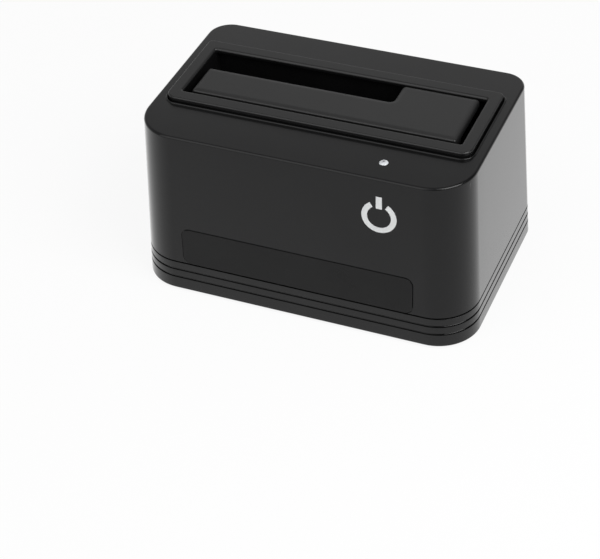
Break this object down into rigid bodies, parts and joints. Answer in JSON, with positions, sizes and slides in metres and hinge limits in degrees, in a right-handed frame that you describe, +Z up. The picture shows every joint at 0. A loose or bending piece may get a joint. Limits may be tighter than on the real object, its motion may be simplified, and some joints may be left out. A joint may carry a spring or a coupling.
{
  "type": "hard drive docking station",
  "caption": "Desktop dock for a bare disk drive: a black leaning housing with a raised slot rim, a sprung L-shaped flap over the slot, a status light and rear ports.",
  "frame": {"origin": "centre of the underside, on the surface that the feet stand on", "axes": "+X along the front to the right seen from the front, +Y from the front to the back, +Z up"},
  "size_m": [0.1296, 0.082, 0.0702],
  "materials": {
    "housing_black": "polished black moulding",
    "tray_black": "satin black moulding",
    "bay_black": "fine satin black moulding",
    "plate_black": "satin black sheet",
    "led_clear": "clear epoxy dome",
    "wire_sleeve": "soft insulation",
    "nylon_white": "natural nylon",
    "board_green": "solder mask",
    "connector_black": "glass-filled moulding",
    "contact_gold": "gold-plated",
    "shell_nickel": "nickel-plated sheet",
    "pin_steel": "plated, turned",
    "spring_steel": "drawn wire",
    "screw_steel": "zinc-plated",
    "chip_black": "moulded epoxy",
    "can_metal": "drawn can",
    "ferrite": "pressed ferrite",
    "sleeve_blue": "shrink sleeve",
    "button_black": "satin moulding",
    "foot_rubber": "soft rubber"
  },
  "bodies": {
    "dock": {"upper_housing": "housing_black", "base_tray": "tray_black", "drive_bay": "bay_black", "flap_hinge_pin": "pin_steel", "flap_spring": "spring_steel", "name_plate": "plate_black", "status_led": "led_clear", "led_lead": "wire_sleeve", "led_header": "nylon_white", "main_board": "board_green", "drive_connector": "connector_black", "drive_contacts": "contact_gold", "usb_shell": "shell_nickel", "usb_insert": "nylon_white", "usb_contacts": "contact_gold", "dc_jack": "connector_black", "dc_jack_pin": "pin_steel", "power_switch": "nylon_white", "bridge_chip": "chip_black", "crystal": "can_metal", "inductor": "ferrite", "capacitors": "sleeve_blue", "regulators": "chip_black", "board_screws": "screw_steel", "bay_screws": "screw_steel", "base_screws": "screw_steel", "rubber_feet": "foot_rubber"},
    "flap": {"drive_flap": "bay_black"},
    "button": {"power_button": "button_black"}
  },
  "joints": [
    {"name": "flap_hinge", "type": "hinge", "parent": "dock", "child": "flap", "pos_m": [0, -0.01397, 0.0665], "axis": [-1, 0, 0], "range_deg": [0, 88], "stiffness_Nm_per_rad": 0.01, "springref_deg": -34.38, "deforming": ["flap_spring"]},
    {"name": "button_press", "type": "slide", "parent": "dock", "child": "button", "axis": [0, -1, 0], "range_m": [0, 0.0015], "stiffness_N_per_m": 400, "springref_m": -0.002}
  ]
}
